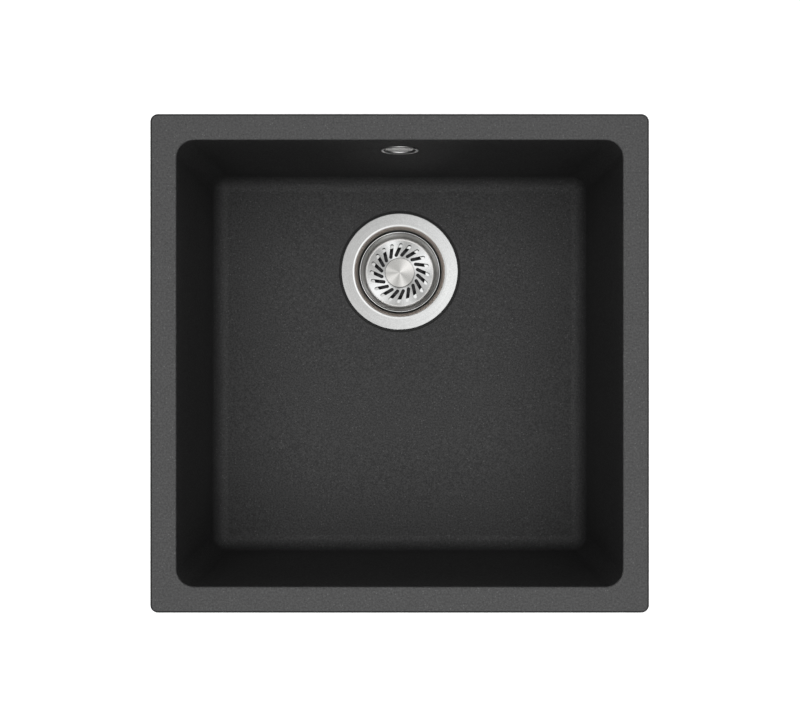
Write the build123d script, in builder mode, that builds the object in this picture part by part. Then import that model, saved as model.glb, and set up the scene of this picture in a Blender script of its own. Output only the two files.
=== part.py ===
from build123d import *
import os
from math import cos, radians, sin, tan

os.makedirs("parts", exist_ok=True)

# Granite sink with a basket-strainer waste and a rear overflow, in millimetres.
# The origin is the middle of the rim's top face, +Z is up and +Y is the rear, where the overflow is.

# Granite bowl
sink_width = 420.0  # over the rim, left to right
sink_length = 420.0  # over the rim, front to back
rim_width = 22.0  # from the outer edge to the mouth of the bowl
rim_thickness = 10.0
rim_corner_radius = 6.5
rim_edge_radius = 1.5
rim_underside_chamfer = 1.0
mouth_edge_radius = 1.6
rim_root_radius = 4.0  # under the rim, where it meets the wall
bowl_depth = 203.0  # rim face to the floor beside the drain
wall_draft = 1.9  # degrees
wall_thickness = 9.0
bowl_corner_radius = 15.0
floor_fillet_radius = 14.0
floor_thickness = 10.0  # floor beside the drain to the flat underside
floor_fall = 0.9  # degrees towards the drain
underside_fillet_radius = 18.0
drain_setback = 98.0  # drain axis in front of the rear edge of the mouth
drain_boss_height = 3.0
drain_boss_margin = 4.0

# Waste flange and cup, one drawn sheet
cup_radius = 40.4  # where the throat's cone ends
throat_step = 2.8  # of the throat's mouth beyond the cup
throat_roll = 3.2
flange_land = 10.8
flange_sheet = 1.2
flange_edge_radius = 0.5
flange_gap = 2.4  # open ring between the flange and the granite
hole_gap = 0.6  # between the throat and the hole in the granite
throat_depth = 6.5  # flange face to the end of the throat's cone
throat_blend = 5.0
cup_taper = 1.8
cup_corner_radius = 4.0
sump_radius = 21.5
sump_roll = 1.8
sump_depth = 15.0  # below the seat
sump_corner_radius = 3.0
spoke_count = 4
spoke_width = 5.0
hub_radius = 9.0
window_margin = 0.5  # between the bottom's windows and its rounded corner

# Gaskets of the waste
flange_gasket_thickness = 1.2
gasket_reach = 2.1  # past the flange, into the open ring around it
body_gasket_thickness = 3.0
gasket_inset = 1.0
body_gasket_width = 8.5

# Plastic waste body
body_wall = 3.0
body_flange_thickness = 4.0
body_flange_blend = 2.0
pot_height = 26.0  # straight part, below the body's top face
funnel_height = 18.0
funnel_blend = 5.0
spout_wall = 2.0
spout_length = 15.5  # below the funnel, inside the neck's socket
clamp_boss_wall = 2.6
clamp_boss_gap = 3.2  # below the cup, so that the screw can pull up
clamp_boss_floor = 3.0
spout_rib_thickness = 2.5
spout_rib_height = 15.0
spout_rib_count = 4

# Outlet neck under the waste body
neck_bore_radius = 20.0
neck_wall = 3.9
neck_length = 38.0  # below the funnel
neck_chamfer = 1.0
neck_socket_wall = 3.0
neck_socket_floor = 2.5
neck_top_gap = 0.5  # under the funnel
neck_shoulder_radius = 0.8

# Clamp screw
clamp_shank_radius = 4.0
clamp_head_radius = 6.5
clamp_head_height = 4.0
clamp_crown_radius = 1.6
clamp_point_chamfer = 0.8
driver_slot_width = 1.6
driver_slot_depth = 1.3
clamp_washer_thickness = 1.0
clamp_washer_margin = 1.0
clamp_insert_wall = 2.0
clamp_insert_length = 14.0
clamp_insert_cover = 1.0  # plastic above the insert
clamp_screw_short = 1.0  # screw's end above the insert's
fit_clearance = 0.05  # between pieces that stay put
thread_clearance = 0.1
screw_clearance = 0.3
overcut = 1.0  # a cut's reach past the face that it opens

# Strainer basket
basket_gap = 1.1  # between the basket's rim and the cup
basket_drop = 6.5  # flange face to the basket's rim
basket_depth = 17.0
basket_sheet = 0.8
basket_lip = 1.0
basket_lip_radius = 1.0
basket_taper = 3.0
basket_corner_radius = 3.0
slot_count = 20
slot_length = 14.8
slot_width = 3.4
slot_circle_radius = 23.0
slot_swirl = 27.0  # degrees off the radius, clockwise on the way out
slot_start = 2.9  # degrees from +X to the first slot
knob_radius = 14.6
knob_thickness = 3.0
knob_height = 9.0  # above the basket's floor
knob_neck_radius = 7.0
knob_throat_radius = 1.5
knob_edge_radius = 0.5

# Stem and seal under the basket
stem_radius = 2.5
stem_grip = 6.0  # length screwed into the knob
stem_thread_end = 1.0  # past the nut
pin_radius = 2.0
pin_engagement = 9.0
pin_clearance = 0.35
socket_run_out = 1.5
seal_hub_radius = 6.0
seal_hub_flare = 1.0
seal_hub_height = 2.0  # basket's underside to the seal's top
seal_height = 4.4  # lip to top
seal_overlap = 2.7  # of the seal beyond the sump's edge
seal_thickness = 3.0
seal_edge_thickness = 1.6
seal_lip_width = 2.4
seal_gap = 0.3  # under the lip with the basket down
seal_washer_radius = 10.0
seal_washer_thickness = 1.0
seal_washer_edge = 0.3
stem_nut_across_flats = 8.0
stem_nut_height = 4.0
stem_ring_section = 0.5
stem_ring_clearance = 0.08

# Overflow rosette on the rear wall
overflow_drop = 47.0  # rim face to the overflow's axis
overflow_hole_radius = 14.6
rosette_radius = 16.8
rosette_height = 1.0
bead_round = 1.9  # quarter round from the sleeve to the bead's crest
sleeve_wall = 0.7
sleeve_length = 6.0
sleeve_clearance = 0.25
rosette_spoke_width = 2.6
rosette_spoke_thickness = 1.75
rosette_spoke_count = 3
rosette_hub_height = 3.1
cap_gap = 1.4  # the water's way in, between cap and sleeve
cap_edge_height = -0.8  # below the wall's face
cap_crown_height = 0.3
cap_edge_thickness = 0.4
cap_socket_wall = 1.0
cap_socket_gap = 0.5  # above the arms
cap_head_gap = 0.2  # above the screw
overflow_screw_radius = 2.45
overflow_head_radius = 4.2
overflow_head_height = 1.9
overflow_crown_radius = 0.6
cross_slot_width = 1.05
cross_slot_depth = 1.1
overflow_screw_short = 1.0  # screw's end above the insert's
overflow_hub_wall = 2.0

# Overflow elbow behind the wall
overflow_pad_height = 1.2
overflow_gasket_thickness = 1.6
overflow_gasket_width = 6.0
elbow_flange_thickness = 3.0
elbow_wall = 2.5
chamber_depth = 11.0  # inside, behind the gasket
overflow_insert_wall = 1.2
overflow_insert_length = 7.0
overflow_boss_wall = 1.4
chamber_edge_radius = 4.0

# Overflow pipe and its two joints
pipe_radius = 7.5
pipe_wall = 1.4
pipe_bend_radius = 28.0
pipe_insertion = 11.0
pipe_end_gap = 1.0  # behind the pipe's end in its socket
pipe_fit = 0.3
socket_wall = 1.6
spigot_margin = 0.4
elbow_spigot_drop = 33.0  # overflow axis to the end of the elbow's spigot
branch_drop = 29.0  # flange face to the axis of the body's branch
branch_length = 26.0  # out from the pot
branch_root_height = 7.0
branch_root_margin = 3.0
nut_wall = 2.3
nut_length = 14.0
nut_lip = 2.0
nut_rib_count = 16
nut_rib_height = 0.7
nut_rib_width = 2.2
pipe_seal_thickness = 2.0

# Places that follow from the sizes above
slope = tan(radians(wall_draft))
mouth_width = sink_width - 2 * rim_width
mouth_length = sink_length - 2 * rim_width
underside_z = -(bowl_depth + floor_thickness)
drain_y = mouth_length / 2 - drain_setback
drain = Plane((0, drain_y, -bowl_depth))
throat_radius = cup_radius + throat_step
flange_radius = throat_radius + throat_roll + flange_land
recess_radius = flange_radius + flange_gap
recess_depth = flange_sheet + flange_gasket_thickness
drain_hole_radius = throat_radius + flange_sheet + hole_gap
boss_face = -(floor_thickness + drain_boss_height)
basket_floor = -(basket_drop + basket_depth)
basket_under = basket_floor - basket_sheet
seal_top = basket_under - seal_hub_height
seal_lip_base = seal_top - seal_height
seat_depth = seal_gap - seal_lip_base  # flange face to the ring that the seal closes on
sump_floor = -(seat_depth + sump_depth)
window_radius = sump_radius - sump_corner_radius - window_margin
body_top = boss_face - body_gasket_thickness
pot_radius = drain_hole_radius + gasket_inset
pot_base = body_top - pot_height
neck_top = pot_base - funnel_height
outlet_end = neck_top - neck_length
neck_radius = neck_bore_radius + neck_wall
spout_radius = neck_bore_radius + spout_wall
spout_end = neck_top - spout_length
neck_socket_radius = spout_radius + fit_clearance + neck_socket_wall
neck_socket_top = neck_top - body_wall / 2 - neck_top_gap
neck_shoulder = spout_end - neck_socket_floor
clamp_insert_radius = clamp_shank_radius + thread_clearance + clamp_insert_wall
clamp_boss_radius = clamp_insert_radius + clamp_boss_wall
clamp_boss_top = sump_floor - flange_sheet - clamp_boss_gap
clamp_head_base = sump_floor + clamp_washer_thickness
clamp_head_top = clamp_head_base + clamp_head_height
insert_top = clamp_boss_top - clamp_insert_cover
insert_base = insert_top - clamp_insert_length
basket_rim_radius = cup_radius - basket_gap
basket_base_radius = basket_rim_radius - basket_lip - basket_taper
knob_top = basket_floor + knob_height
seal_radius = sump_radius + sump_roll + seal_overlap
seal_under = seal_top - seal_thickness
nut_top = seal_under - seal_washer_thickness
nut_base = nut_top - stem_nut_height
stem_shoulder = nut_base - stem_thread_end
pin_end = clamp_head_top - pin_engagement
socket_radius = pin_radius + pin_clearance
socket_end = pin_end - socket_run_out
stem_ring_z = clamp_head_top - pin_engagement / 2
overflow_z = -overflow_drop
overflow_y = mouth_length / 2 + slope * overflow_z
overflow = Plane(
    origin=(0, overflow_y, overflow_z),
    x_dir=(1, 0, 0),
    z_dir=(0, -cos(radians(wall_draft)), sin(radians(wall_draft))),
)
wall_back = -wall_thickness * cos(radians(wall_draft))
pad_back = wall_back - overflow_pad_height
elbow_front = pad_back - overflow_gasket_thickness
elbow_flange_radius = overflow_hole_radius + overflow_gasket_width + gasket_inset
chamber_back = elbow_front - chamber_depth
sleeve_radius = overflow_hole_radius - sleeve_clearance
sleeve_bore = sleeve_radius - sleeve_wall
rosette_hub_radius = overflow_screw_radius + overflow_hub_wall
rosette_hub_front = -sleeve_length + rosette_hub_height
spoke_front = -sleeve_length + rosette_spoke_thickness
bead_foot = rosette_height - bead_round
bead_crest_radius = sleeve_bore + bead_round
cap_radius = sleeve_bore - cap_gap
overflow_insert_radius = overflow_screw_radius + fit_clearance + overflow_insert_wall
overflow_boss_radius = overflow_insert_radius + overflow_boss_wall
overflow_boss_front = elbow_front - elbow_flange_thickness
overflow_insert_back = overflow_boss_front - overflow_insert_length
socket_bore = pipe_radius + pipe_fit
spigot_radius = socket_bore + socket_wall
pipe_bore = pipe_radius - pipe_wall
pipe_y = overflow_y - elbow_front + spigot_margin + spigot_radius
spigot_end_z = overflow_z - elbow_spigot_drop
branch_z = -bowl_depth - branch_drop
branch_end_y = drain_y + pot_radius + body_wall + branch_length
socket_back = -pipe_insertion - pipe_end_gap
nut_bore = spigot_radius + screw_clearance
nut_radius = nut_bore + nut_wall
elbow_spigot = Plane(origin=(0, pipe_y, spigot_end_z), x_dir=(1, 0, 0), z_dir=(0, 0, -1))
branch_spigot = Plane(origin=(0, branch_end_y, branch_z), x_dir=(1, 0, 0), z_dir=(0, 1, 0))


def along(plane):
    """Plane through another plane's axis, on which a sketch reads as radius and height."""
    return Plane(plane.origin, x_dir=plane.x_dir, z_dir=-plane.y_dir)


def axis_of(plane):
    """The axis that stands on a plane's origin."""
    return Axis(plane.origin, plane.z_dir)


def turn(plane, outline, mode=Mode.ADD):
    """Turn a closed outline of radius and height points about a plane's axis."""
    with BuildSketch(along(plane)) as section:
        with BuildLine():
            Polyline(*outline, close=True)
        make_face()
    revolve(section.sketch, axis=axis_of(plane), mode=mode)


def turn_sheet(plane, path, radii, thickness):
    """Turn a bent sheet about a plane's axis, the path being its upper side from rim to middle."""
    with BuildSketch(along(plane)) as section:
        with BuildLine():
            FilletPolyline(*path, radius=radii)
            offset(amount=thickness, side=Side.LEFT)
        make_face()
    revolve(section.sketch, axis=axis_of(plane))


def ring(plane, inner, outer, low, high, mode=Mode.ADD):
    """Turn a plain ring between two heights above a plane."""
    turn(plane, [(inner, low), (outer, low), (outer, high), (inner, high)], mode)


def rims(part, radius, height):
    """Round edges of a waste piece, by their radius and their height above the drain plane."""
    return [
        e
        for e in part.edges().filter_by(GeomType.CIRCLE)
        if abs(e.radius - radius) < fit_clearance
        and abs(e.center().Z + bowl_depth - height) < fit_clearance
    ]


def wall_plan(height, outward=0.0):
    """Width and length of the bowl's walls at a height, moved outward by a thickness."""
    spread = slope * height + outward
    return mouth_width + 2 * spread, mouth_length + 2 * spread


# Room inside the bowl: tapered walls, a floor that falls to the drain as a flat cone, a rounded foot
fall = tan(radians(floor_fall))
cone_tip = -fall * recess_radius
cone_reach = sink_width + sink_length
cut_depth = bowl_depth + floor_thickness
with BuildPart() as bowl_room:
    with BuildSketch():
        RectangleRounded(*wall_plan(0), bowl_corner_radius)
    with BuildSketch(Plane.XY.offset(-cut_depth)):
        RectangleRounded(*wall_plan(-cut_depth), bowl_corner_radius)
    loft(ruled=True)
    turn(
        drain,
        [
            (0, cone_tip),
            (cone_reach, cone_tip + fall * cone_reach),
            (cone_reach, -2 * floor_thickness),
            (0, -2 * floor_thickness),
        ],
        Mode.SUBTRACT,
    )
    floor_tip = Vector(0, drain_y, cone_tip - bowl_depth)
    floor_edges = bowl_room.faces().sort_by(Axis.Z)[0].edges()
    foot = [e for e in floor_edges if min((e @ 0 - floor_tip).length, (e @ 1 - floor_tip).length) > 1]
    fillet(foot, floor_fillet_radius)

# Outside of the bowl below the rim
with BuildPart() as bowl_shell:
    with BuildSketch(Plane.XY.offset(-rim_thickness / 2)):
        RectangleRounded(
            *wall_plan(-rim_thickness / 2, wall_thickness), bowl_corner_radius + wall_thickness
        )
    with BuildSketch(Plane.XY.offset(underside_z)):
        RectangleRounded(*wall_plan(underside_z, wall_thickness), bowl_corner_radius + wall_thickness)
    loft(ruled=True)
    fillet(bowl_shell.faces().sort_by(Axis.Z)[0].edges(), underside_fillet_radius)

with BuildPart() as sink_bowl:
    with BuildSketch():
        RectangleRounded(sink_width, sink_length, rim_corner_radius)
    extrude(amount=-rim_thickness)
    fillet(sink_bowl.faces().sort_by(Axis.Z)[-1].edges(), rim_edge_radius)
    chamfer(sink_bowl.faces().sort_by(Axis.Z)[0].edges(), rim_underside_chamfer)
    add(bowl_shell.part)
    rim_underside = sink_bowl.faces().filter_by(lambda f: abs(f.center().Z + rim_thickness) < fit_clearance)
    fillet(rim_underside.sort_by(SortBy.AREA)[-1].inner_wires()[0].edges(), rim_root_radius)
    ring(drain, 0, recess_radius + drain_boss_margin, boss_face, -floor_thickness)
    with BuildSketch(overflow.offset(pad_back)):
        Circle(elbow_flange_radius + gasket_inset)
    extrude(amount=-pad_back + wall_back / 2)
    add(bowl_room.part, mode=Mode.SUBTRACT)
    fillet(sink_bowl.faces().sort_by(Axis.Z)[-1].inner_wires()[0].edges(), mouth_edge_radius)
    ring(drain, 0, recess_radius, -recess_depth, floor_thickness, Mode.SUBTRACT)
    ring(drain, 0, drain_hole_radius, boss_face - overcut, 0, Mode.SUBTRACT)
    with BuildSketch(overflow.offset(pad_back - overcut)):
        Circle(overflow_hole_radius)
    extrude(amount=-pad_back + 3 * overcut, mode=Mode.SUBTRACT)
sink_bowl.part.label = "sink_bowl"
export_step(sink_bowl.part, "parts/sink_bowl.step")

# Steel flange and cup: flat land, rolled and coned throat, tapered wall, seat ring and sump with a spoked bottom
with BuildPart() as waste_flange:
    turn_sheet(
        drain,
        [
            (flange_radius, 0),
            (throat_radius, 0),
            (cup_radius, -throat_depth),
            (cup_radius - cup_taper, -seat_depth),
            (sump_radius, -seat_depth),
            (sump_radius, sump_floor),
            (0, sump_floor),
        ],
        [throat_roll, throat_blend, cup_corner_radius, sump_roll, sump_corner_radius],
        flange_sheet,
    )
    with BuildSketch(drain.offset(sump_floor)):
        Circle(window_radius)
        Circle(hub_radius, mode=Mode.SUBTRACT)
        with PolarLocations(0, spoke_count):
            Rectangle(
                window_radius + hub_radius,
                spoke_width,
                align=(Align.MIN, Align.CENTER),
                mode=Mode.SUBTRACT,
            )
    extrude(amount=-2 * flange_sheet, mode=Mode.SUBTRACT)
    with Locations(drain.offset(sump_floor)):
        Hole(clamp_shank_radius + screw_clearance)
    fillet(rims(waste_flange, flange_radius, 0), flange_edge_radius)
waste_flange.part.label = "waste_flange"
export_step(waste_flange.part, "parts/waste_flange.step")

with BuildPart() as flange_gasket:
    ring(
        drain,
        throat_radius + throat_roll + gasket_inset / 2,
        flange_radius + gasket_reach,
        -recess_depth,
        -flange_sheet,
    )
flange_gasket.part.label = "flange_gasket"
export_step(flange_gasket.part, "parts/flange_gasket.step")

with BuildPart() as body_gasket:
    gasket_bore = drain_hole_radius + 1.5 * gasket_inset
    ring(drain, gasket_bore, gasket_bore + body_gasket_width, body_top, boss_face)
    outer_rims = body_gasket.edges().filter_by(GeomType.CIRCLE).group_by(SortBy.RADIUS)[-1]
    fillet(outer_rims, body_gasket_thickness / 4)
body_gasket.part.label = "body_gasket"
export_step(body_gasket.part, "parts/body_gasket.step")

# Plastic waste body: clamped top, pot, funnel, spout, ribbed boss for the screw and the overflow branch
with BuildPart() as waste_body:
    body_flange_radius = drain_hole_radius + 2.5 * gasket_inset + body_gasket_width
    body_flange_base = body_top - body_flange_thickness
    turn(
        drain,
        [
            (0, body_top),
            (body_flange_radius, body_top),
            (body_flange_radius, body_flange_base),
            (pot_radius + body_wall, body_flange_base),
            (pot_radius + body_wall, pot_base - body_wall / 2),
            (spout_radius, neck_top - body_wall / 2),
            (spout_radius, spout_end),
            (0, spout_end),
        ],
    )
    fillet(rims(waste_body, pot_radius + body_wall, pot_base - body_wall / 2), funnel_blend)
    fillet(rims(waste_body, pot_radius + body_wall, body_flange_base), body_flange_blend)
    ring(
        Plane(origin=(0, drain_y, branch_z), x_dir=(1, 0, 0), z_dir=(0, 1, 0)),
        0,
        spigot_radius + branch_root_margin,
        pot_radius,
        pot_radius + body_wall + branch_root_height,
    )
    ring(branch_spigot, 0, spigot_radius, -branch_length - body_wall, 0)
    turn(
        drain,
        [
            (0, body_top),
            (pot_radius, body_top),
            (pot_radius, pot_base),
            (neck_bore_radius, neck_top),
            (neck_bore_radius, spout_end),
            (0, spout_end),
        ],
        Mode.SUBTRACT,
    )
    ring(branch_spigot, 0, pipe_bore, -branch_length - 2 * body_wall, 0, Mode.SUBTRACT)
    ring(branch_spigot, 0, socket_bore, socket_back, 0, Mode.SUBTRACT)
    ring(drain, 0, clamp_boss_radius, insert_base - clamp_boss_floor, clamp_boss_top)
    with BuildSketch(drain.offset(neck_top)):
        with PolarLocations(0, spout_rib_count, start_angle=45):
            Rectangle(
                neck_bore_radius + spout_wall / 2, spout_rib_thickness, align=(Align.MIN, Align.CENTER)
            )
    extrude(amount=-spout_rib_height)
    ring(drain, 0, clamp_insert_radius, insert_base, insert_top, Mode.SUBTRACT)
    ring(drain, 0, clamp_shank_radius + screw_clearance, insert_base, clamp_boss_top + overcut, Mode.SUBTRACT)
waste_body.part.label = "waste_body"
export_step(waste_body.part, "parts/waste_body.step")

# Outlet neck: a socket over the spout and the plain length that carries the trap's thread
with BuildPart() as outlet_neck:
    turn(
        drain,
        [
            (spout_radius + fit_clearance, neck_socket_top),
            (neck_socket_radius, neck_socket_top),
            (neck_socket_radius, neck_shoulder),
            (neck_radius, neck_shoulder),
            (neck_radius, outlet_end),
            (neck_bore_radius, outlet_end),
            (neck_bore_radius, spout_end),
            (spout_radius + fit_clearance, spout_end),
        ],
    )
    chamfer(rims(outlet_neck, neck_radius, outlet_end), neck_chamfer)
    socket_rims = rims(outlet_neck, neck_socket_radius, neck_socket_top)
    socket_rims += rims(outlet_neck, neck_socket_radius, neck_shoulder)
    fillet(socket_rims, neck_shoulder_radius)
outlet_neck.part.label = "outlet_neck"
export_step(outlet_neck.part, "parts/outlet_neck.step")

with BuildPart() as clamp_insert:
    ring(
        drain,
        clamp_shank_radius + thread_clearance,
        clamp_insert_radius,
        insert_base,
        insert_top,
    )
clamp_insert.part.label = "clamp_insert"
export_step(clamp_insert.part, "parts/clamp_insert.step")

with BuildPart() as clamp_washer:
    ring(
        drain,
        clamp_shank_radius + screw_clearance,
        clamp_head_radius + clamp_washer_margin,
        sump_floor,
        clamp_head_base,
    )
clamp_washer.part.label = "clamp_washer"
export_step(clamp_washer.part, "parts/clamp_washer.step")

# Screw with a domed head, open down its middle for the basket's pin, with a driver slot across the head
with BuildPart() as clamp_screw:
    turn(
        drain,
        [
            (0, clamp_head_top),
            (clamp_head_radius, clamp_head_top),
            (clamp_head_radius, clamp_head_base),
            (clamp_shank_radius, clamp_head_base),
            (clamp_shank_radius, insert_base + clamp_screw_short),
            (0, insert_base + clamp_screw_short),
        ],
    )
    crown = clamp_screw.faces().sort_by(Axis.Z)[-1].edges()
    fillet(crown, clamp_crown_radius)
    point = clamp_screw.faces().sort_by(Axis.Z)[0].edges()
    chamfer(point, clamp_point_chamfer)
    ring(drain, 0, socket_radius, socket_end, clamp_head_top, Mode.SUBTRACT)
    with BuildSketch(drain.offset(clamp_head_top)):
        Rectangle(2 * clamp_head_radius + overcut, driver_slot_width)
    extrude(amount=-driver_slot_depth, mode=Mode.SUBTRACT)
clamp_screw.part.label = "clamp_screw"
export_step(clamp_screw.part, "parts/clamp_screw.step")

# Drawn basket with a ring of swirled slots in its floor
with BuildPart() as strainer_basket:
    turn_sheet(
        drain,
        [
            (basket_rim_radius, -basket_drop),
            (basket_rim_radius - basket_lip, -basket_drop),
            (basket_base_radius, basket_floor),
            (0, basket_floor),
        ],
        [basket_lip_radius, basket_corner_radius],
        basket_sheet,
    )
    with BuildSketch(drain.offset(basket_floor)):
        with PolarLocations(slot_circle_radius, slot_count, start_angle=slot_start):
            SlotOverall(slot_length, slot_width, rotation=-slot_swirl)
    extrude(amount=-2 * basket_sheet, mode=Mode.SUBTRACT)
    with Locations(drain.offset(basket_floor)):
        Hole(stem_radius + fit_clearance)
strainer_basket.part.label = "strainer_basket"
export_step(strainer_basket.part, "parts/strainer_basket.step")

with BuildPart() as basket_knob:
    knob_under = knob_top - knob_thickness
    turn(
        drain,
        [
            (0, knob_top),
            (knob_radius, knob_top),
            (knob_radius, knob_under),
            (knob_neck_radius, knob_under),
            (knob_neck_radius, basket_floor),
            (0, basket_floor),
        ],
    )
    knob_edges = rims(basket_knob, knob_radius, knob_top) + rims(basket_knob, knob_radius, knob_under)
    fillet(knob_edges, knob_edge_radius)
    fillet(rims(basket_knob, knob_neck_radius, knob_under), knob_throat_radius)
    ring(drain, 0, stem_radius + fit_clearance, basket_floor, basket_floor + stem_grip, Mode.SUBTRACT)
basket_knob.part.label = "basket_knob"
export_step(basket_knob.part, "parts/basket_knob.step")

# Stem: threaded length through basket, seal, washer and nut, then a thinner pin with a groove for its ring
with BuildPart() as basket_stem:
    groove_radius = socket_radius - stem_ring_clearance - 2 * stem_ring_section
    groove_half = stem_ring_section + fit_clearance
    turn(
        drain,
        [
            (0, basket_floor + stem_grip),
            (stem_radius, basket_floor + stem_grip),
            (stem_radius, stem_shoulder),
            (pin_radius, stem_shoulder),
            (pin_radius, stem_ring_z + groove_half),
            (groove_radius, stem_ring_z + groove_half),
            (groove_radius, stem_ring_z - groove_half),
            (pin_radius, stem_ring_z - groove_half),
            (pin_radius, pin_end),
            (0, pin_end),
        ],
    )
    chamfer(basket_stem.faces().sort_by(Axis.Z)[0].edges(), pin_radius / 2)
basket_stem.part.label = "basket_stem"
export_step(basket_stem.part, "parts/basket_stem.step")

with BuildPart() as stem_ring:
    with BuildSketch(along(drain)):
        with Locations((groove_radius + stem_ring_section, stem_ring_z)):
            Circle(stem_ring_section)
    revolve(axis=axis_of(drain))
stem_ring.part.label = "stem_ring"
export_step(stem_ring.part, "parts/stem_ring.step")

# Rubber plug: hub against the basket, thin edge and a lip that reaches down to the seat
with BuildPart() as basket_seal:
    turn(
        drain,
        [
            (stem_radius + fit_clearance, basket_under),
            (seal_hub_radius, basket_under),
            (seal_hub_radius + seal_hub_flare, seal_top),
            (seal_radius - 1.5 * seal_lip_width, seal_top),
            (seal_radius, seal_lip_base + seal_edge_thickness),
            (seal_radius, seal_lip_base),
            (seal_radius - seal_lip_width, seal_lip_base),
            (seal_radius - 2 * seal_lip_width, seal_under),
            (stem_radius + fit_clearance, seal_under),
        ],
    )
basket_seal.part.label = "basket_seal"
export_step(basket_seal.part, "parts/basket_seal.step")

with BuildPart() as seal_washer:
    ring(drain, stem_radius + fit_clearance, seal_washer_radius, nut_top, seal_under)
    fillet(
        rims(seal_washer, seal_washer_radius, nut_top) + rims(seal_washer, seal_washer_radius, seal_under),
        seal_washer_edge,
    )
seal_washer.part.label = "seal_washer"
export_step(seal_washer.part, "parts/seal_washer.step")

with BuildPart() as stem_nut:
    with BuildSketch(drain.offset(nut_top)):
        RegularPolygon(stem_nut_across_flats / 2, 6, major_radius=False)
        Circle(stem_radius + fit_clearance, mode=Mode.SUBTRACT)
    extrude(amount=-stem_nut_height)
stem_nut.part.label = "stem_nut"
export_step(stem_nut.part, "parts/stem_nut.step")

# Chrome ring: rounded bead on the wall, sleeve in the hole, three arms to a hub for the screw
with BuildPart() as overflow_ring:
    with BuildSketch(along(overflow)):
        with BuildLine():
            Polyline(
                (sleeve_bore, bead_foot),
                (sleeve_bore, -sleeve_length),
                (sleeve_radius, -sleeve_length),
                (sleeve_radius, 0),
                (rosette_radius, 0),
            )
            TangentArc((sleeve_bore, bead_foot), (bead_crest_radius, rosette_height), tangent=(0, 1))
            TangentArc((bead_crest_radius, rosette_height), (rosette_radius, 0), tangent=(1, 0))
        make_face()
    revolve(axis=axis_of(overflow))
    with BuildSketch(overflow.offset(-sleeve_length)):
        with PolarLocations(0, rosette_spoke_count, start_angle=90):
            Rectangle(
                (sleeve_radius + sleeve_bore) / 2, rosette_spoke_width, align=(Align.MIN, Align.CENTER)
            )
        Circle(rosette_hub_radius)
    extrude(amount=rosette_spoke_thickness)
    ring(overflow, 0, rosette_hub_radius, -sleeve_length, rosette_hub_front)
    hub_hole = overflow_screw_radius + screw_clearance
    ring(overflow, 0, hub_hole, -sleeve_length, rosette_hub_front, Mode.SUBTRACT)
overflow_ring.part.label = "overflow_ring"
export_step(overflow_ring.part, "parts/overflow_ring.step")

with BuildPart() as overflow_screw:
    turn(
        overflow,
        [
            (0, rosette_hub_front + overflow_head_height),
            (overflow_head_radius, rosette_hub_front + overflow_head_height),
            (overflow_head_radius, rosette_hub_front),
            (overflow_screw_radius, rosette_hub_front),
            (overflow_screw_radius, overflow_insert_back + overflow_screw_short),
            (0, overflow_insert_back + overflow_screw_short),
        ],
    )
    head_face = overflow_screw.faces().sort_by(Axis.Y)[0]
    fillet(head_face.edges(), overflow_crown_radius)
    with BuildSketch(overflow.offset(rosette_hub_front + overflow_head_height)):
        Rectangle(overflow_head_radius, cross_slot_width)
        Rectangle(cross_slot_width, overflow_head_radius)
    extrude(amount=-cross_slot_depth, mode=Mode.SUBTRACT)
overflow_screw.part.label = "overflow_screw"
export_step(overflow_screw.part, "parts/overflow_screw.step")

# Domed cap with a short socket that snaps over the hub
with BuildPart() as overflow_cap:
    socket_inner = rosette_hub_radius + fit_clearance
    socket_outer = socket_inner + cap_socket_wall
    cap_ceiling = rosette_hub_front + overflow_head_height + cap_head_gap
    with BuildSketch(along(overflow)):
        with BuildLine():
            Polyline(
                (0, cap_crown_height),
                (0, cap_ceiling),
                (socket_inner, cap_ceiling),
                (socket_inner, spoke_front + cap_socket_gap),
                (socket_outer, spoke_front + cap_socket_gap),
                (socket_outer, cap_edge_height),
                (cap_radius, cap_edge_height),
                (cap_radius, cap_edge_height + cap_edge_thickness),
            )
            dome_height = cap_crown_height - cap_edge_height - cap_edge_thickness
            dome_radius = (cap_radius**2 + dome_height**2) / (2 * dome_height)
            ThreePointArc(
                (cap_radius, cap_edge_height + cap_edge_thickness),
                (
                    cap_radius / 2,
                    cap_crown_height - dome_radius + (dome_radius**2 - cap_radius**2 / 4) ** 0.5,
                ),
                (0, cap_crown_height),
            )
        make_face()
    revolve(axis=axis_of(overflow))
overflow_cap.part.label = "overflow_cap"
export_step(overflow_cap.part, "parts/overflow_cap.step")

with BuildPart() as overflow_gasket:
    ring(
        overflow,
        overflow_hole_radius + gasket_inset / 2,
        overflow_hole_radius + overflow_gasket_width,
        elbow_front,
        pad_back,
    )
overflow_gasket.part.label = "overflow_gasket"
export_step(overflow_gasket.part, "parts/overflow_gasket.step")

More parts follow.
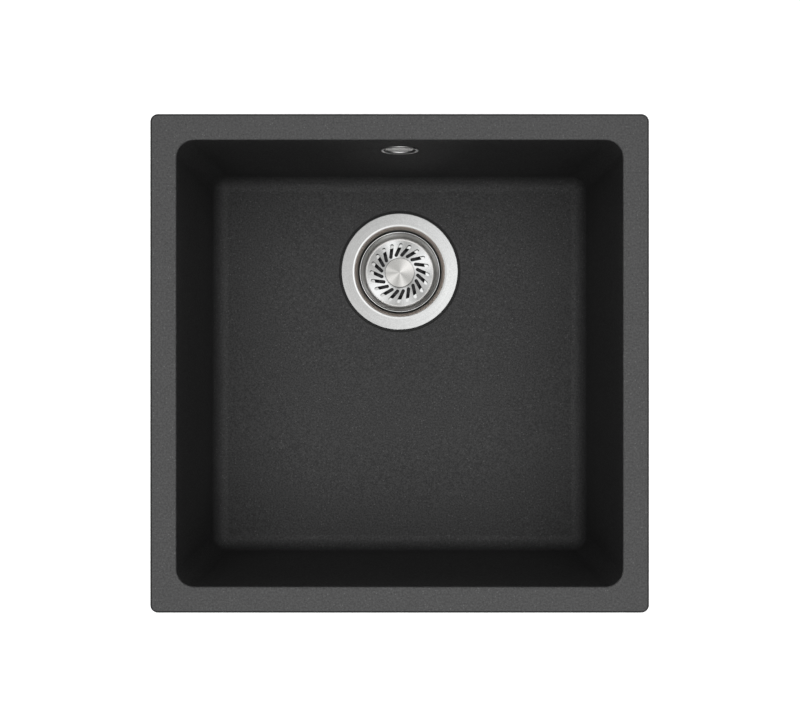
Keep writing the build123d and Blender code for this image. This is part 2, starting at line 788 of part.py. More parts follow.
# Plastic elbow: flange, shallow chamber, screw boss and a spigot that points straight down
with BuildPart() as overflow_elbow:
    chamber_radius = overflow_hole_radius + gasket_inset / 2
    ring(overflow, 0, elbow_flange_radius, elbow_front - elbow_flange_thickness, elbow_front)
    ring(overflow, 0, chamber_radius + elbow_wall, chamber_back - elbow_wall, elbow_front)
    chamber_face = overflow_elbow.faces().sort_by(Axis.Y)[-1]
    fillet(chamber_face.edges(), chamber_edge_radius)
    ring(elbow_spigot, 0, spigot_radius, -elbow_spigot_drop, 0)
    with Locations((0, pipe_y, overflow_z)):
        Sphere(spigot_radius)
    ring(overflow, 0, chamber_radius, chamber_back, elbow_front, Mode.SUBTRACT)
    ring(elbow_spigot, 0, pipe_bore, -elbow_spigot_drop + 2 * elbow_wall, 0, Mode.SUBTRACT)
    ring(elbow_spigot, 0, socket_bore, socket_back, 0, Mode.SUBTRACT)
    ring(overflow, 0, overflow_boss_radius, chamber_back - elbow_wall, overflow_boss_front)
    ring(
        overflow,
        0,
        overflow_insert_radius,
        overflow_insert_back,
        overflow_boss_front,
        Mode.SUBTRACT,
    )
overflow_elbow.part.label = "overflow_elbow"
export_step(overflow_elbow.part, "parts/overflow_elbow.step")

with BuildPart() as overflow_insert:
    ring(
        overflow,
        overflow_screw_radius + fit_clearance,
        overflow_insert_radius,
        overflow_insert_back,
        overflow_boss_front,
    )
overflow_insert.part.label = "overflow_insert"
export_step(overflow_insert.part, "parts/overflow_insert.step")

# Rigid pipe: down behind the bowl, one bend, then forward into the branch
pipe_top_z = spigot_end_z + pipe_insertion
pipe_front_y = branch_end_y - pipe_insertion
with BuildPart() as overflow_pipe:
    with BuildLine() as pipe_path:
        FilletPolyline(
            (0, pipe_y, pipe_top_z),
            (0, pipe_y, branch_z),
            (0, pipe_front_y, branch_z),
            radius=pipe_bend_radius,
        )
    with BuildSketch(Plane(origin=(0, pipe_y, pipe_top_z), z_dir=(0, 0, -1))):
        Circle(pipe_radius)
        Circle(pipe_bore, mode=Mode.SUBTRACT)
    sweep()
overflow_pipe.part.label = "overflow_pipe"
export_step(overflow_pipe.part, "parts/overflow_pipe.step")


def pipe_nut(plane):
    """Ribbed nut over a spigot's end, its lip closing on the pipe's seal."""
    turn(
        plane,
        [
            (nut_bore, pipe_seal_thickness + nut_lip - nut_length),
            (nut_radius, pipe_seal_thickness + nut_lip - nut_length),
            (nut_radius, pipe_seal_thickness),
            (nut_radius - nut_lip, pipe_seal_thickness + nut_lip),
            (socket_bore, pipe_seal_thickness + nut_lip),
            (socket_bore, pipe_seal_thickness),
            (nut_bore, pipe_seal_thickness),
        ],
    )
    with BuildSketch(plane.offset(pipe_seal_thickness + nut_lip - nut_length)) as grip:
        with PolarLocations(nut_radius, nut_rib_count):
            Rectangle(2 * nut_rib_height, nut_rib_width)
    extrude(grip.sketch, amount=nut_length - nut_lip, dir=plane.z_dir)


with BuildPart() as upper_nut:
    pipe_nut(elbow_spigot)
upper_nut.part.label = "upper_nut"
export_step(upper_nut.part, "parts/upper_nut.step")

with BuildPart() as upper_seal:
    ring(elbow_spigot, pipe_radius + fit_clearance, spigot_radius, 0, pipe_seal_thickness)
upper_seal.part.label = "upper_seal"
export_step(upper_seal.part, "parts/upper_seal.step")

with BuildPart() as lower_nut:
    pipe_nut(branch_spigot)
lower_nut.part.label = "lower_nut"
export_step(lower_nut.part, "parts/lower_nut.step")

with BuildPart() as lower_seal:
    ring(branch_spigot, pipe_radius + fit_clearance, spigot_radius, 0, pipe_seal_thickness)
lower_seal.part.label = "lower_seal"
export_step(lower_seal.part, "parts/lower_seal.step")
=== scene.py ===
"""Looks of the granite sink: its finishes, the floor it stands on, soft light and the camera above it."""

import math
from collections import namedtuple

import bpy
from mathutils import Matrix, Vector


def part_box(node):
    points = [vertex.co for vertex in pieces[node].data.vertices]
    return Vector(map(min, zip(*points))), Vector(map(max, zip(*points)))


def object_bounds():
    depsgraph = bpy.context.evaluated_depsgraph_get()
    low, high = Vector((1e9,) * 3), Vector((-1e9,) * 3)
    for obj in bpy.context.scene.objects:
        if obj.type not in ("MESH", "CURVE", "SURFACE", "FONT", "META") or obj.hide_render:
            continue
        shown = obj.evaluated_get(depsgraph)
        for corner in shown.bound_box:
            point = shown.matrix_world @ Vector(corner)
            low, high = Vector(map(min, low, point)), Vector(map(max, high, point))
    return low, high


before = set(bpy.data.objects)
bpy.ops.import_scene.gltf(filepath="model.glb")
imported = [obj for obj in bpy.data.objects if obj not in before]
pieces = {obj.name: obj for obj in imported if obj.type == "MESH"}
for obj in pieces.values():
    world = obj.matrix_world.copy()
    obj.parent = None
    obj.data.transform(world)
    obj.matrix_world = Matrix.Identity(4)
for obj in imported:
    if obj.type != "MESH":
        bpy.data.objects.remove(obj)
cad_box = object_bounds()

# Places read from the frame, in metres
flange_low, flange_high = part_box("waste_flange")
drain_x = (flange_low.x + flange_high.x) / 2
drain_y = (flange_low.y + flange_high.y) / 2
outlet_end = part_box("outlet_neck")[0].z
rim_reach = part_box("sink_bowl")[1].x

# Bowl, in metres: its mouth, the draft and middle of its walls, and heights inside its floor and its rim
mouth_half = 0.188
wall_taper = math.tan(math.radians(1.9))
wall_middle = 0.0045
floor_back = -0.207
rim_back = -0.009

# Rim, in metres: heights where its painted lighter top fades, its corner radius, and the painted edge
# shade's way in and down
rim_round = -0.0016
rim_flat = -0.0003
rim_corner = 0.0065
rim_edge_start = 0.0017
rim_edge_end = 0.0012
rim_edge_foot = 2 * rim_round

# Thread on the outlet neck, in metres
outlet_radius = 0.0239
outlet_reach = 0.0006
outlet_thread_pitch = 0.0023
outlet_thread_length = 0.019
outlet_thread_depth = 0.0009
outlet_thread_runout = 0.001

# Sockets of the Mix node, whose names repeat
mix_first_value = 2
mix_second_value = 3
mix_value_result = 0
mix_first_colour = 6
mix_second_colour = 7
mix_colour_result = 2

# Plain white, and the value that noise keeps to on average
white = (1, 1, 1, 1)
noise_middle = 0.5


class Wiring:
    """Adds and links the nodes of one material, world or node group."""

    def __init__(self, tree):
        self.tree = tree

    def put(self, kind, inputs=None, **settings):
        """Add a node, set its attributes and feed its inputs."""
        made = self.tree.nodes.new("ShaderNode" + kind)
        for name, value in settings.items():
            setattr(made, name, value)
        for name, value in (inputs or {}).items():
            self.feed(made.inputs[name], value)
        return made

    def feed(self, socket, value):
        """Link a socket into an input, or set the input to a plain value."""
        if isinstance(value, bpy.types.NodeSocket):
            self.tree.links.new(value, socket)
        else:
            socket.default_value = value

    def calc(self, operation, *values, clamp=False):
        """One Math node."""
        return self.put("Math", dict(enumerate(values)), operation=operation, use_clamp=clamp).outputs[0]

    def vector(self, operation, *values):
        """One Vector Math node that puts out a vector."""
        return self.put("VectorMath", dict(enumerate(values)), operation=operation).outputs[0]

    def length(self, vector):
        """Length of a vector."""
        return self.put("VectorMath", {0: vector}, operation="LENGTH").outputs["Value"]

    def step(self, value, low, high, start=0.0, end=1.0):
        """Smooth change from start to end while a value goes from low to high."""
        inputs = {"Value": value, "From Min": low, "From Max": high, "To Min": start, "To Max": end}
        return self.put("MapRange", inputs, interpolation_type="SMOOTHSTEP").outputs["Result"]

    def fall(self, value, low, high):
        """Smooth change from 1 to 0 while a value goes from low to high."""
        return self.step(value, low, high, 1.0, 0.0)

    def span(self, value, start, end):
        """Straight change from start to end while a value goes from 0 to 1."""
        return self.put("MapRange", {"Value": value, "To Min": start, "To Max": end}).outputs["Result"]

    def blend(self, factor, first, second):
        """Mix two colours."""
        inputs = {"Factor": factor, mix_first_colour: first, mix_second_colour: second}
        return self.put("Mix", inputs, data_type="RGBA").outputs[mix_colour_result]

    def blend_value(self, factor, first, second):
        """Mix two values."""
        inputs = {"Factor": factor, mix_first_value: first, mix_second_value: second}
        return self.put("Mix", inputs, data_type="FLOAT").outputs[mix_value_result]

    def tint(self, colour, value):
        """A colour made lighter or darker by a value."""
        return self.put("VectorMath", {0: colour, "Scale": value}, operation="SCALE").outputs[0]

    def noise(self, vector, scale, detail=2.0, roughness=0.5):
        """Noise from 0 to 1."""
        inputs = {"Vector": vector, "Scale": scale, "Detail": detail, "Roughness": roughness}
        return self.put("TexNoise", inputs).outputs[0]

    def place(self):
        """A point of the piece, in the shared frame at rest; it rides with the piece."""
        return self.put("TexCoord").outputs["Object"]

    def coordinates(self):
        """The X, Y and Z of such a point."""
        return self.put("SeparateXYZ", {"Vector": self.place()}).outputs

    def bump(self, height, distance, strength=1.0):
        """Normal of a relief, its height given in metres per unit."""
        return self.put("Bump", {"Height": height, "Distance": distance, "Strength": strength}).outputs[0]


def new_group(name, inputs, outputs):
    """An empty node group with named sockets; gives its wiring, what it is given and what it shows."""
    group = bpy.data.node_groups.new(name, "ShaderNodeTree")
    for socket, value in inputs.items():
        made = group.interface.new_socket(socket, in_out="INPUT", socket_type="NodeSocketFloat")
        made.default_value = value
    for socket in outputs:
        group.interface.new_socket(socket, in_out="OUTPUT", socket_type="NodeSocketFloat")
    wiring = Wiring(group)
    given = group.nodes.new("NodeGroupInput").outputs
    shown = group.nodes.new("NodeGroupOutput").inputs
    return wiring, given, shown


def use(wiring, name, **inputs):
    """Place a node group in a material and give its outputs."""
    made = wiring.tree.nodes.new("ShaderNodeGroup")
    made.node_tree = bpy.data.node_groups[name]
    for socket, value in inputs.items():
        wiring.feed(made.inputs[socket.replace("_", " ")], value)
    return made.outputs


def new_finish(name):
    """A material with one Principled shader; gives the material, its wiring and the shader's inputs."""
    finish = bpy.data.materials.new(name + "_finish")
    finish.use_nodes = True
    wiring = Wiring(finish.node_tree)
    return finish, wiring, finish.node_tree.nodes["Principled BSDF"].inputs


# Effects that the finishes are made from
def make_drain_turning():
    """Radius and angle round the drain, turning marks that follow the circle, and rays that cross it."""
    marks_per_metre = 1900
    fan_stretch = 8
    ray_scale = 22.0
    turning_detail = 3.0
    turning_roughness = 0.6
    speckle_scale = 900.0
    speckle_share = 0.45
    wiring, _, shown = new_group("drain turning", {}, ("Radius", "Angle", "Turned", "Rays"))
    point = wiring.coordinates()
    across = wiring.calc("SUBTRACT", point["X"], drain_x)
    along = wiring.calc("SUBTRACT", point["Y"], drain_y)
    square = wiring.calc("ADD", wiring.calc("POWER", across, 2), wiring.calc("POWER", along, 2))
    radius = wiring.calc("SQRT", square)
    angle = wiring.calc("ARCTAN2", along, across)
    round_x = wiring.calc("COSINE", angle)
    round_y = wiring.calc("SINE", angle)
    ripple = wiring.calc("MULTIPLY", wiring.calc("SUBTRACT", radius, point["Z"]), marks_per_metre)
    spread = wiring.calc("MULTIPLY", radius, fan_stretch)
    lathe = wiring.put("CombineXYZ", {"X": ripple, "Y": round_x, "Z": round_y}).outputs[0]
    fan = wiring.put("CombineXYZ", {"X": round_x, "Y": round_y, "Z": spread}).outputs[0]
    circles = wiring.noise(lathe, 1.0, turning_detail, turning_roughness)
    speckle = wiring.noise(wiring.place(), speckle_scale)
    strayed = wiring.calc("SUBTRACT", speckle, circles)
    wiring.feed(shown["Radius"], radius)
    wiring.feed(shown["Angle"], angle)
    wiring.feed(shown["Turned"], wiring.calc("MULTIPLY_ADD", strayed, speckle_share, circles))
    wiring.feed(shown["Rays"], wiring.noise(fan, ray_scale, turning_detail, turning_roughness))


def make_painted_highlight_wedge():
    """Painted highlight: bright wedge of a turned face in one direction, in degrees from the right."""
    inputs = {"Angle": 0.0, "Direction": 0.0, "Sharpness": 4.0, "Strength": 1.0}
    wiring, given, shown = new_group("sheen wedge", inputs, ("Wedge",))
    turned = wiring.calc("SUBTRACT", given["Angle"], wiring.calc("RADIANS", given["Direction"]))
    facing = wiring.calc("MULTIPLY_ADD", wiring.calc("COSINE", turned), 0.5, 0.5)
    narrowed = wiring.calc("POWER", facing, given["Sharpness"])
    wiring.feed(shown["Wedge"], wiring.calc("MULTIPLY", narrowed, given["Strength"]))


def make_moulded_skin():
    """Fine texture that a mould leaves on plastic and rubber, with broad uneven tone."""
    skin_detail = 3.0
    cloud_scale = 45.0
    wiring, given, shown = new_group("moulded skin", {"Grain Scale": 900.0}, ("Grain", "Cloud"))
    place = wiring.place()
    wiring.feed(shown["Grain"], wiring.noise(place, given["Grain Scale"], skin_detail))
    wiring.feed(shown["Cloud"], wiring.noise(place, cloud_scale, skin_detail))


def make_granite_grain():
    """Ground stone in resin: dense fine grains, with sparse light flecks and small dark pits."""
    grain_scale = 620.0
    grain_roughness = 0.7
    patch_scale = 60.0
    patch_share = 0.06
    resin_end = 0.3
    stone_start = 0.7
    speck_core = 0.1
    specks = (("Fleck", 560.0, 0.42), ("Pit", 700.0, 0.38))
    wiring, given, shown = new_group("granite grain", {"Speck Share": 0.0}, ("Tone", "Fleck", "Pit"))
    place = wiring.place()
    fine = wiring.noise(place, grain_scale, roughness=grain_roughness)
    broad = wiring.noise(place, patch_scale)
    grains = wiring.calc("MULTIPLY", fine, 1 - patch_share)
    mixed = wiring.calc("MULTIPLY_ADD", broad, patch_share, grains)
    wiring.feed(shown["Tone"], wiring.step(mixed, resin_end, stone_start))
    for name, scale, speck_edge in specks:
        cells = wiring.put("TexVoronoi", {"Vector": place, "Scale": scale}).outputs
        dot = wiring.fall(cells["Distance"], speck_core, speck_edge)
        chance = wiring.put("SeparateColor", {"Color": cells["Color"]}).outputs[0]
        chosen = wiring.calc("LESS_THAN", chance, given["Speck Share"])
        wiring.feed(shown[name], wiring.calc("MULTIPLY", dot, chosen))


for make_effect in (make_drain_turning, make_painted_highlight_wedge, make_moulded_skin, make_granite_grain):
    make_effect()


# Granite of the bowl
def cast_back(wiring, point):
    """1 on the cast back of the bowl, outside its walls and under its floor, and 0 on the rest."""
    across = wiring.calc("ABSOLUTE", point["X"])
    along = wiring.calc("ABSOLUTE", point["Y"])
    reach = wiring.calc("MAXIMUM", across, along)
    wall_line = wiring.calc("MULTIPLY_ADD", point["Z"], wall_taper, mouth_half + wall_middle)
    outside = wiring.calc("GREATER_THAN", reach, wall_line)
    below = wiring.calc("LESS_THAN", point["Z"], floor_back)
    under_rim = wiring.calc("LESS_THAN", point["Z"], rim_back)
    return wiring.calc("MULTIPLY", under_rim, wiring.calc("MAXIMUM", outside, below))


def rim_faces(wiring, point):
    """Masks of the rim's top, painted lighter for the fuller light it gets, and of the painted shade on the
    round along its outer edge.
    """
    corner_middle = rim_reach - rim_corner
    plan = wiring.vector("ABSOLUTE", wiring.vector("MULTIPLY", wiring.place(), (1, 1, 0)))
    past_corner = wiring.vector("SUBTRACT", plan, (corner_middle, corner_middle, 0))
    from_corner = wiring.length(wiring.vector("MAXIMUM", past_corner, (0, 0, 0)))
    edge = wiring.step(from_corner, rim_corner - rim_edge_start, rim_corner - rim_edge_end)
    # Painted light: the top of the rim, away from its outer round, is marked for lighter colours
    top = wiring.step(point["Z"], rim_round, rim_flat)
    lit_top = wiring.calc("MULTIPLY", top, wiring.calc("SUBTRACT", 1.0, edge))
    # Painted shade on the rim's outer round, fading in below the top
    edge_shade = wiring.calc("MULTIPLY", edge, wiring.step(point["Z"], rim_edge_foot, rim_round))
    return lit_top, edge_shade


def granite():
    """Matt dark granite composite with its rim's top painted lighter, painted shade along the rim's outer
    round, and a rougher back.
    """
    moulded_resin = (0.0178, 0.0178, 0.0181, 1)
    # Painted light: the rim's top takes these lighter colours, standing in for the fuller light it gets
    lit_top_resin = (0.046, 0.046, 0.0464, 1)
    moulded_stone = (0.0405, 0.0405, 0.0408, 1)
    lit_top_stone = (0.08, 0.08, 0.0805, 1)
    moulded_fleck = (0.09, 0.09, 0.09, 1)
    lit_top_fleck = (0.126, 0.126, 0.126, 1)
    # Painted shade: nearly black along the rim's outer round, where it turns away from the light
    edge_shade_colour = (0.008, 0.008, 0.008, 1)
    pit_colour = (0.018, 0.018, 0.018, 1)
    speck_share = 0.08
    resin_roughness = 0.68
    stone_roughness = 0.6
    cast_dulling = 0.15
    grain_depth = 0.0002
    grain_strength = 0.3
    finish, wiring, shader = new_finish("granite")
    grain = use(wiring, "granite grain", Speck_Share=speck_share)
    point = wiring.coordinates()
    lit_top, edge_shade = rim_faces(wiring, point)
    resin = wiring.blend(lit_top, moulded_resin, lit_top_resin)
    stone = wiring.blend(lit_top, moulded_stone, lit_top_stone)
    fleck = wiring.blend(lit_top, moulded_fleck, lit_top_fleck)
    grained = wiring.blend(grain["Tone"], resin, stone)
    flecked = wiring.blend(grain["Fleck"], grained, fleck)
    edged = wiring.blend(edge_shade, flecked, edge_shade_colour)
    polish = wiring.span(grain["Tone"], resin_roughness, stone_roughness)
    roughness = wiring.calc("MULTIPLY_ADD", cast_back(wiring, point), cast_dulling, polish)
    wiring.feed(shader["Base Color"], wiring.blend(grain["Pit"], edged, pit_colour))
    wiring.feed(shader["Roughness"], roughness)
    wiring.feed(shader["Normal"], wiring.bump(grain["Tone"], grain_depth, grain_strength))
    return finish


# Steel of the strainer: a band is a ring between two radii, with its painted lit and shaded colours in and
# out of the wedge highlights
Band = namedtuple("Band", ("inner", "outer", "lit", "shaded", "dulling"))
band_softness = 0.0004


def turned_steel(name, light, dark, highlight_wedges, roughness, marks, bands=(), seat_radius=None):
    """Steel finished on a lathe, with fine circles, faint rays, rings with painted lit and shaded colours,
    and painted highlight wedge shapes.

    A wedge has a direction in degrees, a sharpness and a strength.
    """
    ray_share = 0.35
    roughness_swing = 0.06
    seat_roughness = 0.1
    mark_depth = 0.00004
    mark_strength = 0.25
    finish, wiring, shader = new_finish(name)
    turning = use(wiring, "drain turning")
    # Painted highlight: each wedge shape, with the faint rays, blends the dark colour into the light one
    painted_sheen = 0.0
    for direction, sharpness, strength in highlight_wedges:
        shape = {"Direction": direction, "Sharpness": sharpness, "Strength": strength}
        wedge = use(wiring, "sheen wedge", Angle=turning["Angle"], **shape)["Wedge"]
        painted_sheen = wiring.calc("MAXIMUM", painted_sheen, wedge)
    strayed = wiring.calc("SUBTRACT", turning["Rays"], noise_middle)
    rays = wiring.calc("MULTIPLY_ADD", strayed, ray_share, painted_sheen, clamp=True)
    brushed = wiring.span(turning["Turned"], 1 - marks, 1 + marks)
    colour = wiring.tint(wiring.blend(rays, dark, light), brushed)
    worn = wiring.span(turning["Turned"], roughness - roughness_swing, roughness + roughness_swing)
    # Painted light and shade: each band takes its lit colour where the highlight points and its shaded
    # colour away from it
    for band in bands:
        start = wiring.step(turning["Radius"], band.inner - band_softness, band.inner + band_softness)
        end = wiring.fall(turning["Radius"], band.outer - band_softness, band.outer + band_softness)
        drawn = wiring.calc("MULTIPLY", start, end)
        worn = wiring.calc("MULTIPLY_ADD", drawn, band.dulling, worn)
        colour = wiring.blend(drawn, colour, wiring.blend(rays, band.shaded, band.lit))
    if seat_radius:
        seat = wiring.fall(turning["Radius"], seat_radius - band_softness, seat_radius + band_softness)
        worn = wiring.blend_value(seat, worn, seat_roughness)
    wiring.feed(shader["Base Color"], colour)
    wiring.feed(shader["Roughness"], worn)
    wiring.feed(shader["Normal"], wiring.bump(turning["Turned"], mark_depth, mark_strength))
    wiring.feed(shader["Tangent"], wiring.put("Tangent", direction_type="RADIAL", axis="Z").outputs[0])
    shader["Metallic"].default_value = 1.0
    shader["Anisotropic"].default_value = 0.45
    return finish


def flange_steel():
    """Spun flange with a painted highlight towards the right, a painted highlight on the crest of its roll,
    painted light and shade on its duller throat, and painted shade in its cup, where the basket's gap is.
    """
    # Painted highlight: light is the colour where the wedge points, dark the colour away from it
    light = (0.72, 0.728, 0.724, 1)
    dark = (0.48, 0.48, 0.475, 1)
    highlight_wedges = ((-10, 1.2, 1.0),)
    # Painted highlight on the crest of the roll, brightest on the left and dimmer on the right, as the
    # roll's shading falls
    crest = Band(0.0448, 0.0461, lit=(0.56, 0.565, 0.56, 1), shaded=(0.95, 0.955, 0.95, 1), dulling=0.0)
    # Painted light and shade on the throat, which is also made duller
    throat = Band(0.0412, 0.0442, lit=(1.0, 0.93, 0.87, 1), shaded=(0.86, 0.8, 0.75, 1), dulling=0.6)
    # Painted shade: a nearly black ring in the cup, darkest on the right, standing in for the shadow in the
    # gap round the basket
    cup = Band(0.0376, 0.0407, lit=(0.08, 0.075, 0.07, 1), shaded=(0.36, 0.33, 0.3, 1), dulling=0.1)
    bands = (crest, throat, cup)
    cup_floor = 0.037
    return turned_steel(
        "flange_steel", light, dark, highlight_wedges, roughness=0.34, marks=0.5, bands=bands, seat_radius=cup_floor
    )


def basket_steel():
    """Bright basket with painted highlight wedge shapes on its floor, painted light and shade on its clear
    wall, and a painted highlight on its rim.
    """
    # Painted highlight: light where the wedge shapes point, dark between them
    light = (0.79, 0.797, 0.797, 1)
    dark = (0.32, 0.32, 0.315, 1)
    highlight_wedges = ((27, 14, 0.95), (107, 40, 0.9), (217, 12, 1.0), (285, 50, 0.5), (345, 40, 0.35))
    # Painted highlight on the basket's rim, brighter where the wedge highlights point
    crest = Band(0.0387, 0.042, lit=(0.95, 0.955, 0.95, 1), shaded=(0.7, 0.705, 0.7, 1), dulling=0.0)
    # Painted light and shade on the basket's side wall, which is made a little duller
    side = Band(0.0325, 0.0383, lit=(1.0, 0.99, 0.97, 1), shaded=(0.86, 0.85, 0.83, 1), dulling=0.22)
    bands = (crest, side)
    return turned_steel("basket_steel", light, dark, highlight_wedges, roughness=0.28, marks=0.08, bands=bands)


def knob_steel():
    """Warm disc with four painted highlight wedge shapes through its middle."""
    # Painted highlight: light within the four wedge shapes, dark between them
    light = (0.75, 0.738, 0.717, 1)
    dark = (0.392, 0.388, 0.375, 1)
    highlight_wedges = ((36, 8, 1.0), (165, 70, 0.45), (216, 25, 0.75), (286, 40, 0.75))
    return turned_steel("knob_steel", light, dark, highlight_wedges, roughness=0.28, marks=0.08)


def screw_steel():
    """Plain turned screws, washers, nut and stem, with two painted highlight wedge shapes."""
    # Painted highlight: light within the two wedge shapes, dark between them
    light = (0.56, 0.56, 0.55, 1)
    dark = (0.42, 0.42, 0.41, 1)
    highlight_wedges = ((60, 3, 1.0), (240, 3, 1.0))
    return turned_steel("screw_steel", light, dark, highlight_wedges, roughness=0.34, marks=0.15)


# Other metals
def hazed_metal(name, light, dark, skin_output, smooth, hazy):
    """Bare or plated metal with uneven tone, its gloss following one output of the skin."""
    grain_scale = 1200.0
    finish, wiring, shader = new_finish(name)
    skin = use(wiring, "moulded skin", Grain_Scale=grain_scale)
    wiring.feed(shader["Base Color"], wiring.blend(skin["Cloud"], dark, light))
    wiring.feed(shader["Roughness"], wiring.span(skin[skin_output], smooth, hazy))
    shader["Metallic"].default_value = 1.0
    return finish


def overflow_chrome():
    """Chrome plating with the faint haze of handling."""
    light = (0.97, 0.965, 0.96, 1)
    dark = (0.92, 0.91, 0.9, 1)
    return hazed_metal("overflow_chrome", light, dark, "Cloud", smooth=0.26, hazy=0.34)


def insert_brass():
    """Turned brass of the threaded inserts."""
    light = (0.6, 0.42, 0.17, 1)
    dark = (0.45, 0.3, 0.1, 1)
    return hazed_metal("insert_brass", light, dark, "Grain", smooth=0.24, hazy=0.38)


# Plastic and rubber
def outlet_thread(wiring):
    """Height of the thread that runs round the end of the outlet neck, in metres."""
    half_turn = 0.5
    thread_start = outlet_end + outlet_thread_runout
    thread_end = outlet_end + outlet_thread_length
    turning = use(wiring, "drain turning")
    height = wiring.coordinates()["Z"]
    on_neck = wiring.calc("COMPARE", turning["Radius"], outlet_radius, outlet_reach)
    low = wiring.step(height, thread_start, thread_start + outlet_thread_runout)
    high = wiring.fall(height, thread_end - outlet_thread_runout, thread_end)
    turn = wiring.calc("DIVIDE", turning["Angle"], math.tau)
    phase = wiring.calc("SUBTRACT", wiring.calc("DIVIDE", height, outlet_thread_pitch), turn)
    rise = wiring.calc("PINGPONG", phase, half_turn)
    ridge = wiring.calc("MULTIPLY", rise, outlet_thread_depth / half_turn)
    zone = wiring.calc("MULTIPLY", on_neck, wiring.calc("MULTIPLY", low, high))
    return wiring.calc("MULTIPLY", ridge, zone)


def moulded(name, light, dark, roughness, grain_scale, relief, threaded=False):
    """Moulded plastic or rubber with its mould's skin, and the outlet's thread where the piece has one."""
    roughness_swing = 0.08
    finish, wiring, shader = new_finish(name)
    skin = use(wiring, "moulded skin", Grain_Scale=grain_scale)
    height = wiring.calc("MULTIPLY", skin["Grain"], relief)
    if threaded:
        height = wiring.calc("ADD", height, outlet_thread(wiring))
    worn = wiring.span(skin["Grain"], roughness - roughness_swing, roughness + roughness_swing)
    wiring.feed(shader["Base Color"], wiring.blend(skin["Cloud"], dark, light))
    wiring.feed(shader["Roughness"], worn)
    wiring.feed(shader["Normal"], wiring.bump(height, 1.0))
    return finish


def waste_plastic():
    """Black moulded waste body, outlet neck and elbow."""
    light = (0.024, 0.024, 0.025, 1)
    dark = (0.016, 0.016, 0.017, 1)
    return moulded(
        "waste_plastic", light, dark, roughness=0.45, grain_scale=900.0, relief=0.00006, threaded=True
    )


def nut_plastic():
    """Smoother black nuts."""
    light = (0.02, 0.02, 0.021, 1)
    dark = (0.013, 0.013, 0.014, 1)
    return moulded("nut_plastic", light, dark, roughness=0.36, grain_scale=1400.0, relief=0.00003)


def pipe_plastic():
    """Grey-black drawn pipe."""
    light = (0.034, 0.034, 0.036, 1)
    dark = (0.026, 0.026, 0.027, 1)
    return moulded("pipe_plastic", light, dark, roughness=0.4, grain_scale=1200.0, relief=0.00002)


def gasket_rubber():
    """Matt black rubber of the gaskets."""
    light = (0.016, 0.016, 0.016, 1)
    dark = (0.01, 0.01, 0.01, 1)
    return moulded("gasket_rubber", light, dark, roughness=0.74, grain_scale=700.0, relief=0.00005)


def seal_rubber():
    """Smoother black rubber of the basket's plug."""
    light = (0.014, 0.014, 0.015, 1)
    dark = (0.009, 0.009, 0.01, 1)
    return moulded("seal_rubber", light, dark, roughness=0.6, grain_scale=900.0, relief=0.00003)


# Finishes, one for each material slot of the record, on the pieces that have that slot
finish_makers = (
    granite,
    flange_steel,
    basket_steel,
    knob_steel,
    screw_steel,
    overflow_chrome,
    waste_plastic,
    nut_plastic,
    pipe_plastic,
    gasket_rubber,
    seal_rubber,
    insert_brass,
)
finishes = {maker.__name__: maker() for maker in finish_makers}
for piece in pieces.values():
    slot_name = piece.data.materials[0].name
    piece.data.materials[0] = finishes[slot_name]


# Floor under the outlet: white to the camera and to the metal, with the sink's soft shadow on it
def seen_white(wiring):
    """1 for the rays that show a background: to the camera, off metal and through glass."""
    rays = wiring.put("LightPath").outputs
    seen = wiring.calc("MAXIMUM", rays["Is Camera Ray"], rays["Is Glossy Ray"])
    return wiring.calc("MAXIMUM", seen, rays["Is Transmission Ray"])


def floor_paper():
    """Pale matt paper that shows white: it glows more far off, where less of the lamps' light falls."""
    light = (0.83, 0.83, 0.83, 1)
    dark = (0.8, 0.8, 0.8, 1)
    mottle_scale = 3.0
    near_sink = 0.7
    far_off = 2.0
    near_glow = 0.7
    far_glow = 1.0
    finish = bpy.data.materials.new("studio_floor")
    finish.use_nodes = True
    finish.node_tree.nodes.clear()
    wiring = Wiring(finish.node_tree)
    paper = wiring.blend(wiring.noise(wiring.place(), mottle_scale), dark, light)
    level = wiring.step(wiring.length(wiring.place()), near_sink, far_off, near_glow, far_glow)
    glow = wiring.calc("MULTIPLY", seen_white(wiring), level)
    matt = wiring.put("BsdfDiffuse", {"Color": paper}).outputs[0]
    glowing = wiring.put("Emission", {"Color": white, "Strength": glow}).outputs[0]
    both = wiring.put("AddShader", {0: matt, 1: glowing}).outputs[0]
    wiring.put("OutputMaterial", {"Surface": both})
    return finish


floor_half = 4.0
floor_gap = 0.0005
floor_height = cad_box[0].z - floor_gap
floor_signs = ((-1, -1), (1, -1), (1, 1), (-1, 1))
floor_corners = [(x * floor_half, y * floor_half, floor_height) for x, y in floor_signs]
floor_mesh = bpy.data.meshes.new("studio_floor")
floor_mesh.from_pydata(floor_corners, [], [(0, 1, 2, 3)])
floor = bpy.data.objects.new("studio_floor", floor_mesh)
bpy.context.collection.objects.link(floor)
floor_mesh.materials.append(floor_paper())

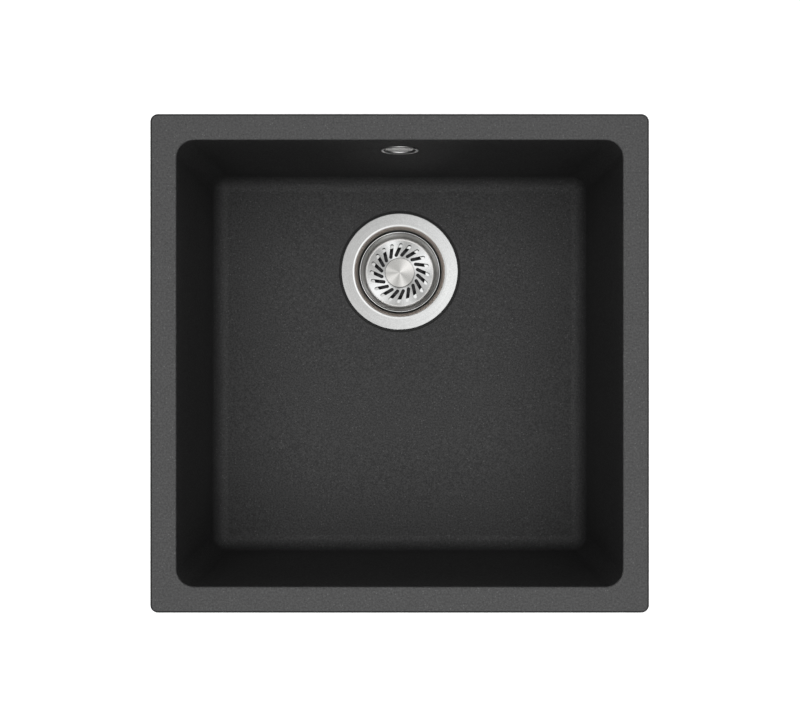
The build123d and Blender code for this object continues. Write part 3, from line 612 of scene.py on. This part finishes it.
# Room: a white backdrop round the sink that turns into a dim ceiling, with little light of its own
room_light = 0.02
ceiling_light = 0.08
backdrop_top = 0.08
backdrop_end = 0.2
room = bpy.data.worlds.new("studio_room")
room.use_nodes = True
room_wiring = Wiring(room.node_tree)
outward = room_wiring.put("TexCoord").outputs["Generated"]
rising = room_wiring.put("SeparateXYZ", {"Vector": outward}).outputs["Z"]
backdrop = room_wiring.step(rising, backdrop_top, backdrop_end, 1.0, ceiling_light)
to_camera = room_wiring.put("LightPath").outputs["Is Camera Ray"]
shown_level = room_wiring.calc("MAXIMUM", backdrop, to_camera)
room_level = room_wiring.blend_value(seen_white(room_wiring), room_light, shown_level)
background = room.node_tree.nodes["Background"].inputs
room_wiring.feed(background["Strength"], room_level)
room_wiring.feed(background["Color"], white)
bpy.context.scene.world = room


# Lamps overhead: one lights the sink, and the other is only seen in its gloss
def soft_lamp(name, place, width, level):
    """Square lamp of even brightness that faces the middle of the rim; a level of 1 looks white."""
    rim_middle = Vector((0, 0, 0))
    lamp = bpy.data.lights.new(name, "AREA")
    lamp.size = width
    lamp.energy = level * math.pi * width**2
    holder = bpy.data.objects.new(name, lamp)
    holder.location = place
    holder.rotation_euler = (rim_middle - Vector(place)).to_track_quat("-Z", "Y").to_euler()
    bpy.context.collection.objects.link(holder)
    return holder


lamps_height = 2.2
lamps_forward = -0.08
lamp_width = 2.6
lamp_level = 2.9
panel_side = 0.1
panel_width = 3.0
panel_level = 1.2
overhead_lamp = soft_lamp("overhead_lamp", (0.0, lamps_forward, lamps_height), lamp_width, lamp_level)
overhead_lamp.visible_glossy = False
panel_place = (panel_side, lamps_forward, lamps_height)
overhead_panel = soft_lamp("overhead_panel", panel_place, panel_width, panel_level)
overhead_panel.visible_diffuse = False

# Camera straight above the sink, where the photograph was taken from
camera_height = 1.22
camera_offset = 0.0003
camera_lens = 65.25
camera_sensor = 36.0
camera_data = bpy.data.cameras.new("camera")
camera_data.sensor_fit = "HORIZONTAL"
camera_data.sensor_width = camera_sensor
camera_data.lens = camera_lens
camera = bpy.data.objects.new("camera", camera_data)
camera.location = (camera_offset, camera_offset, camera_height)
bpy.context.collection.objects.link(camera)
bpy.context.scene.camera = camera
bpy.context.scene.view_settings.view_transform = "Standard"
